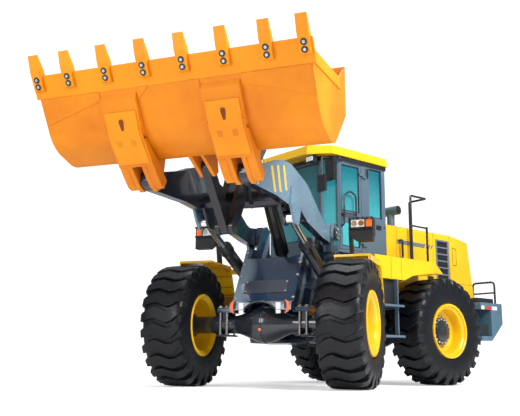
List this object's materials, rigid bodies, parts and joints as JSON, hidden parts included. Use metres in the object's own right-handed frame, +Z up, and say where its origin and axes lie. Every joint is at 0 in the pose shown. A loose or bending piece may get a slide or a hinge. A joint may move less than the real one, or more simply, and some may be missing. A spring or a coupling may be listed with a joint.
{
  "type": "wheel loader",
  "caption": "Articulated wheel loader with a hollow cab, hood, counterweight, lift arms, rocker and link, hydraulic cylinders and a toothed bucket, steered to the left.",
  "frame": {"origin": "on the ground under the middle of the whole machine's bounding box, as it stands steered and with its bucket rolled back", "axes": "+X forward along the rear half, +Y to the driver's left, +Z up along the towing pin"},
  "size_m": [8.3436, 5.052, 3.4003],
  "materials": {
    "paint_yellow": "gloss",
    "paint_orange": "gloss",
    "paint_blue_grey": "satin",
    "paint_black": "satin",
    "cylinder_black": "gloss",
    "rod_chrome": "polished",
    "tyre_rubber": "matte",
    "edge_steel": "satin",
    "engine_grey": "matte",
    "lamp_plastic": "matte",
    "cab_pane": "gloss",
    "seat_black": "matte"
  },
  "bodies": {
    "root": {"rear_axle": "paint_blue_grey", "rear_frame": "paint_blue_grey", "engine": "engine_grey", "transmission": "engine_grey", "drive_shafts": "paint_black", "hood": "paint_yellow", "counterweight": "paint_blue_grey", "decks": "paint_yellow", "side_tanks": "paint_black", "ladders": "paint_blue_grey", "cab": "paint_blue_grey", "cab_roof": "paint_yellow", "cab_glass": "cab_pane", "seat": "seat_black", "console": "lamp_plastic", "steering_wheel": "paint_black", "roof_lamps": "paint_black", "mirrors": "lamp_plastic", "exhaust": "paint_black", "guard_rails": "paint_black", "rear_guards": "paint_black", "louvres": "paint_blue_grey"},
    "front": {"front_frame": "paint_blue_grey", "front_fenders": "paint_yellow", "front_axle": "paint_blue_grey", "work_lamps": "lamp_plastic", "front_shaft": "paint_black"},
    "arms": {"lift_arms": "paint_blue_grey"},
    "rocker": {"rocker": "cylinder_black"},
    "link": {"link": "cylinder_black"},
    "bucket": {"bucket": "paint_orange", "bucket_teeth": "edge_steel"},
    "tilt_barrel": {"tilt_barrel": "cylinder_black"},
    "tilt_rod": {"tilt_rod": "rod_chrome"},
    "lift_barrel_left": {"lift_barrel_left": "cylinder_black"},
    "lift_rod_left": {"lift_rod_left": "rod_chrome"},
    "steer_barrel_left": {"steer_barrel_left": "cylinder_black"},
    "steer_rod_left": {"steer_rod_left": "rod_chrome"},
    "door_left": {"door_left": "paint_blue_grey", "door_glass_left": "cab_pane"},
    "lift_barrel_right": {"lift_barrel_right": "cylinder_black"},
    "lift_rod_right": {"lift_rod_right": "rod_chrome"},
    "steer_barrel_right": {"steer_barrel_right": "cylinder_black"},
    "steer_rod_right": {"steer_rod_right": "rod_chrome"},
    "door_right": {"door_right": "paint_blue_grey", "door_glass_right": "cab_pane"},
    "wheel_front_left": {"tyre_front_left": "tyre_rubber", "rim_front_left": "paint_yellow"},
    "wheel_front_right": {"tyre_front_right": "tyre_rubber", "rim_front_right": "paint_yellow"},
    "wheel_rear_left": {"tyre_rear_left": "tyre_rubber", "rim_rear_left": "paint_yellow"},
    "wheel_rear_right": {"tyre_rear_right": "tyre_rubber", "rim_rear_right": "paint_yellow"}
  },
  "joints": [
    {"name": "steer", "type": "hinge", "parent": "root", "child": "front", "pos_m": [-0.67184, -1.13603, 0], "axis": [0, 0, 1], "range_deg": [-65.2, 4.8]},
    {"name": "lift", "type": "hinge", "parent": "front", "child": "arms", "pos_m": [-0.15327, -0.83422, 2.08], "axis": [0.503, -0.8643, 0], "range_deg": [-35, 37]},
    {"name": "tilt", "type": "hinge", "parent": "arms", "child": "bucket", "pos_m": [2.61245, 0.77547, 2.19175], "axis": [-0.503, 0.8643, 0], "range_deg": [-21, 138]},
    {"name": "rocker_turn", "type": "hinge", "parent": "arms", "child": "rocker", "pos_m": [1.58394, 0.17686, 2.51541], "axis": [0.503, -0.8643, 0], "range_deg": [-6.62, 43.48]},
    {"name": "link_turn", "type": "hinge", "parent": "rocker", "child": "link", "pos_m": [1.91286, 0.3683, 1.7936], "axis": [0.503, -0.8643, 0], "range_deg": [-70.39, 10.72]},
    {"name": "lift_barrel_left_turn", "type": "hinge", "parent": "front", "child": "lift_barrel_left", "pos_m": [-0.30029, -0.28342, 1.4], "axis": [0.503, -0.8643, 0], "range_deg": [-32.83, 34.71]},
    {"name": "lift_rod_left_slide", "type": "slide", "parent": "lift_barrel_left", "child": "lift_rod_left", "axis": [0.808, 0.4703, 0.355], "range_m": [-0.39468, 0.41723]},
    {"name": "lift_barrel_right_turn", "type": "hinge", "parent": "front", "child": "lift_barrel_right", "pos_m": [0.25303, -1.23412, 1.4], "axis": [0.503, -0.8643, 0], "range_deg": [-32.83, 34.71]},
    {"name": "lift_rod_right_slide", "type": "slide", "parent": "lift_barrel_right", "child": "lift_rod_right", "axis": [0.808, 0.4703, 0.355], "range_m": [-0.39468, 0.41723]},
    {"name": "tilt_barrel_turn", "type": "hinge", "parent": "front", "child": "tilt_barrel", "pos_m": [0.12329, -0.67325, 1.66], "axis": [0.503, -0.8643, 0], "range_deg": [-32.64, 34.51]},
    {"name": "tilt_rod_slide", "type": "slide", "parent": "tilt_barrel", "child": "tilt_rod", "axis": [0.554, 0.3224, 0.7676], "range_m": [-0.3451, 0.0526]},
    {"name": "steer_barrel_left_turn", "type": "hinge", "parent": "root", "child": "steer_barrel_left", "pos_m": [-1.72184, -0.71603, 0.92], "axis": [0, 0, 1], "range_deg": [-9.77, 0.73]},
    {"name": "steer_rod_left_slide", "type": "slide", "parent": "steer_barrel_left", "child": "steer_rod_left", "axis": [0.9949, 0.1006, 0], "range_m": [-0.03963, 0.5371]},
    {"name": "steer_barrel_right_turn", "type": "hinge", "parent": "root", "child": "steer_barrel_right", "pos_m": [-1.72184, -1.55603, 0.92], "axis": [0, 0, 1], "range_deg": [-12.85, 0.96]},
    {"name": "steer_rod_right_slide", "type": "slide", "parent": "steer_barrel_right", "child": "steer_rod_right", "axis": [0.9967, 0.081, 0], "range_m": [-0.49576, 0.03659]},
    {"name": "door_left_open", "type": "hinge", "parent": "root", "child": "door_left", "pos_m": [-1.14784, -0.36603, 2.5], "axis": [0, 0, 1], "range_deg": [0, 85]},
    {"name": "door_right_open", "type": "hinge", "parent": "root", "child": "door_right", "pos_m": [-1.14784, -1.90603, 2.5], "axis": [0, 0, -1], "range_deg": [0, 85]},
    {"name": "wheel_front_left_roll", "type": "hinge", "parent": "front", "child": "wheel_front_left", "pos_m": [0.19586, 0.6533, 0.78], "axis": [-0.503, 0.8643, 0], "continuous": true},
    {"name": "wheel_front_right_roll", "type": "hinge", "parent": "front", "child": "wheel_front_right", "pos_m": [1.31257, -1.26539, 0.78], "axis": [-0.503, 0.8643, 0], "continuous": true},
    {"name": "wheel_rear_left_roll", "type": "hinge", "parent": "root", "child": "wheel_rear_left", "pos_m": [-2.32184, -0.02603, 0.78], "axis": [0, 1, 0], "continuous": true},
    {"name": "wheel_rear_right_roll", "type": "hinge", "parent": "root", "child": "wheel_rear_right", "pos_m": [-2.32184, -2.24603, 0.78], "axis": [0, 1, 0], "continuous": true}
  ],
  "couplings": [
    {"joint": "rocker_turn", "follows": "tilt", "ratio": 0.315},
    {"joint": "link_turn", "follows": "tilt", "ratio": -0.51},
    {"joint": "lift_barrel_left_turn", "follows": "lift", "ratio": 0.93772},
    {"joint": "lift_rod_left_slide", "follows": "lift", "m_per_rad": 0.64594},
    {"joint": "lift_barrel_right_turn", "follows": "lift", "ratio": 0.93772},
    {"joint": "lift_rod_right_slide", "follows": "lift", "m_per_rad": 0.64594},
    {"joint": "tilt_barrel_turn", "follows": "lift", "ratio": 0.93234},
    {"joint": "tilt_rod_slide", "follows": "tilt", "m_per_rad": -0.14324},
    {"joint": "steer_barrel_left_turn", "follows": "steer", "ratio": 0.14971},
    {"joint": "steer_rod_left_slide", "follows": "steer", "m_per_rad": -0.4719},
    {"joint": "steer_barrel_right_turn", "follows": "steer", "ratio": 0.19696},
    {"joint": "steer_rod_right_slide", "follows": "steer", "m_per_rad": 0.43557}
  ]
}
